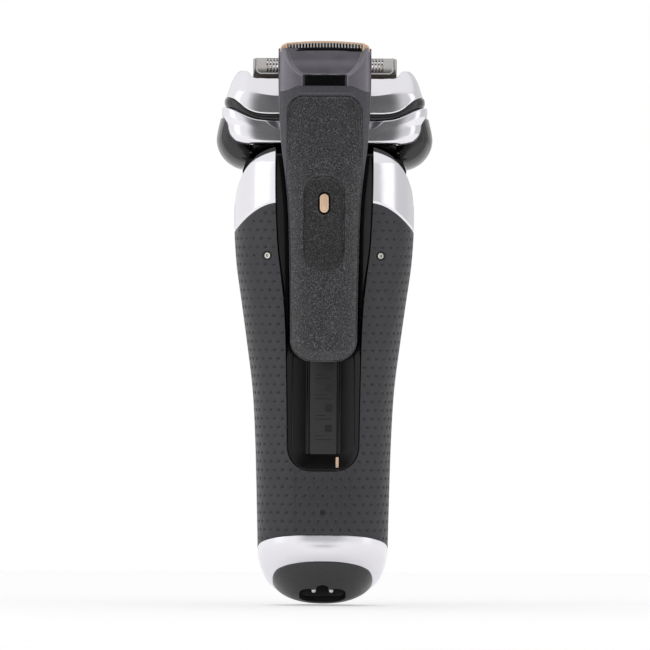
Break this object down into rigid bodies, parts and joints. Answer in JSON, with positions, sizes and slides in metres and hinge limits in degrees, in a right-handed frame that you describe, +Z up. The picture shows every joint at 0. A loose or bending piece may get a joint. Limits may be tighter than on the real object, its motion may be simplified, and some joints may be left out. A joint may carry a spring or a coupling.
{
  "type": "electric shaver",
  "caption": "Cordless foil shaver with a tilting head, lift-off foil cassette, slide-up long-hair trimmer, dimpled rubber grip and a charging socket in its foot.",
  "frame": {"origin": "middle of the bounding box, on the level of the lowest point of the domed foot", "axes": "+Z up the long axis to the cutting head, +Y towards the front with the power button, -Y towards the back with the trimmer, +X to the right when the back is looked at"},
  "size_m": [0.0658, 0.042, 0.1715],
  "materials": {
    "grip_rubber": "matt, dimpled",
    "satin_silver": "satin lacquer",
    "gloss_black": "high gloss",
    "front_plastic": "gloss",
    "case_plastic": "fine matt",
    "trimmer_plastic": "grained",
    "nose_plastic": "satin metallic",
    "grey_gloss": "gloss",
    "cap_plastic": "satin",
    "frame_plastic": "moulded",
    "nickel": "plated",
    "spring_steel": "drawn wire",
    "blade_steel": "ground",
    "foil_steel": "perforated sheet",
    "gold_metal": "titanium-gold coat",
    "carrier_plastic": "satin",
    "seal_rubber": "moulded",
    "label": "satin",
    "cell_wrap": "shrink sleeve",
    "board": "solder mask",
    "motor_steel": "laminated"
  },
  "bodies": {
    "root": {"rear_shell": "case_plastic", "front_shell": "case_plastic", "rear_grip": "grip_rubber", "front_cover": "front_plastic", "shoulder_cover": "satin_silver", "base_ring": "satin_silver", "end_cap": "cap_plastic", "base_seal": "seal_rubber", "socket_housing": "gloss_black", "socket_pins": "nickel", "case_screws": "nickel", "vent_plug": "seal_rubber", "trimmer_channel": "gloss_black", "label_plate": "label", "contact_pins": "nickel", "contact_bushes": "case_plastic", "inner_frame": "frame_plastic", "battery_cell": "cell_wrap", "circuit_board": "board", "display_window": "gloss_black", "motor_stator": "motor_steel", "motor_bracket": "blade_steel", "neck_plate": "case_plastic", "head_yoke": "case_plastic", "pivot_pins": "nickel", "drive_boot": "seal_rubber", "button_bezel": "satin_silver"},
    "power_button": {"power_button": "satin_silver"},
    "lock_switch": {"lock_switch": "grey_gloss"},
    "drive": {"drive_armature": "motor_steel", "drive_pin": "nickel"},
    "head": {"head_base": "satin_silver", "head_frame": "case_plastic", "gap_band": "grey_gloss", "release_spring_left": "spring_steel", "release_spring_right": "spring_steel"},
    "bridge": {"drive_bridge": "frame_plastic"},
    "release_left": {"release_button_left": "grey_gloss"},
    "release_right": {"release_button_right": "grey_gloss"},
    "cassette": {"cassette_frame": "satin_silver", "cassette_core": "carrier_plastic", "cutter_springs": "spring_steel"},
    "foil_rear_unit": {"foil_rear": "foil_steel", "foil_rear_carrier": "carrier_plastic"},
    "foil_front_unit": {"foil_front": "foil_steel", "foil_front_carrier": "carrier_plastic"},
    "cutter_rear_unit": {"cutter_rear": "blade_steel"},
    "cutter_front_unit": {"cutter_front": "blade_steel"},
    "centre_unit": {"lift_trimmer": "gold_metal", "skin_guard": "blade_steel"},
    "trimmer": {"trimmer_body": "trimmer_plastic", "trimmer_nose": "nose_plastic", "grip_insert": "trimmer_plastic", "trimmer_window": "gloss_black", "trimmer_comb": "gold_metal", "trimmer_runners": "case_plastic", "button_surround": "gloss_black"},
    "trimmer_lock": {"trimmer_lock_button": "gold_metal"},
    "blade": {"trimmer_blade": "blade_steel", "blade_carrier": "case_plastic"}
  },
  "joints": [
    {"name": "head_tilt", "type": "hinge", "parent": "root", "child": "head", "pos_m": [0, 0.005, 0.141], "axis": [1, 0, 0], "range_deg": [-20, 12]},
    {"name": "release_left_press", "type": "slide", "parent": "head", "child": "release_left", "axis": [1, 0, 0], "range_m": [0, 0.0008], "stiffness_N_per_m": 1200},
    {"name": "release_right_press", "type": "slide", "parent": "head", "child": "release_right", "axis": [-1, 0, 0], "range_m": [0, 0.0008], "stiffness_N_per_m": 1200},
    {"name": "cassette_lift", "type": "slide", "parent": "head", "child": "cassette", "axis": [0, 0, 1], "range_m": [0, 0.006]},
    {"name": "foil_rear_float", "type": "slide", "parent": "cassette", "child": "foil_rear_unit", "axis": [0, 0, -1], "range_m": [0, 0.0015], "stiffness_N_per_m": 600},
    {"name": "foil_front_float", "type": "slide", "parent": "cassette", "child": "foil_front_unit", "axis": [0, 0, -1], "range_m": [0, 0.0015], "stiffness_N_per_m": 600},
    {"name": "centre_float", "type": "slide", "parent": "cassette", "child": "centre_unit", "axis": [0, 0, -1], "range_m": [0, 0.001], "stiffness_N_per_m": 500},
    {"name": "drive_swing", "type": "slide", "parent": "root", "child": "drive", "axis": [1, 0, 0], "range_m": [-0.0012, 0.0012], "stiffness_N_per_m": 2500},
    {"name": "bridge_swing", "type": "slide", "parent": "head", "child": "bridge", "axis": [1, 0, 0], "range_m": [-0.0012, 0.0012]},
    {"name": "cutter_rear_swing", "type": "slide", "parent": "foil_rear_unit", "child": "cutter_rear_unit", "axis": [1, 0, 0], "range_m": [-0.0012, 0.0012]},
    {"name": "cutter_front_swing", "type": "slide", "parent": "foil_front_unit", "child": "cutter_front_unit", "axis": [1, 0, 0], "range_m": [-0.0012, 0.0012]},
    {"name": "trimmer_slide", "type": "slide", "parent": "root", "child": "trimmer", "axis": [0, 0, 1], "range_m": [-0.0325, 0]},
    {"name": "blade_swing", "type": "slide", "parent": "trimmer", "child": "blade", "axis": [1, 0, 0], "range_m": [-0.0012, 0.0012]},
    {"name": "trimmer_lock_press", "type": "slide", "parent": "trimmer", "child": "trimmer_lock", "axis": [0, 1, 0], "range_m": [0, 0.0008], "stiffness_N_per_m": 600},
    {"name": "power_press", "type": "slide", "parent": "root", "child": "power_button", "axis": [0, -1, 0], "range_m": [0, 0.0008], "stiffness_N_per_m": 800},
    {"name": "head_lock_slide", "type": "slide", "parent": "root", "child": "lock_switch", "axis": [0, 0, -1], "range_m": [0, 0.0025]}
  ],
  "couplings": [
    {"joint": "bridge_swing", "follows": "drive_swing", "ratio": 1},
    {"joint": "cutter_rear_swing", "follows": "drive_swing", "ratio": 1},
    {"joint": "cutter_front_swing", "follows": "drive_swing", "ratio": 1},
    {"joint": "blade_swing", "follows": "drive_swing", "ratio": 1}
  ]
}
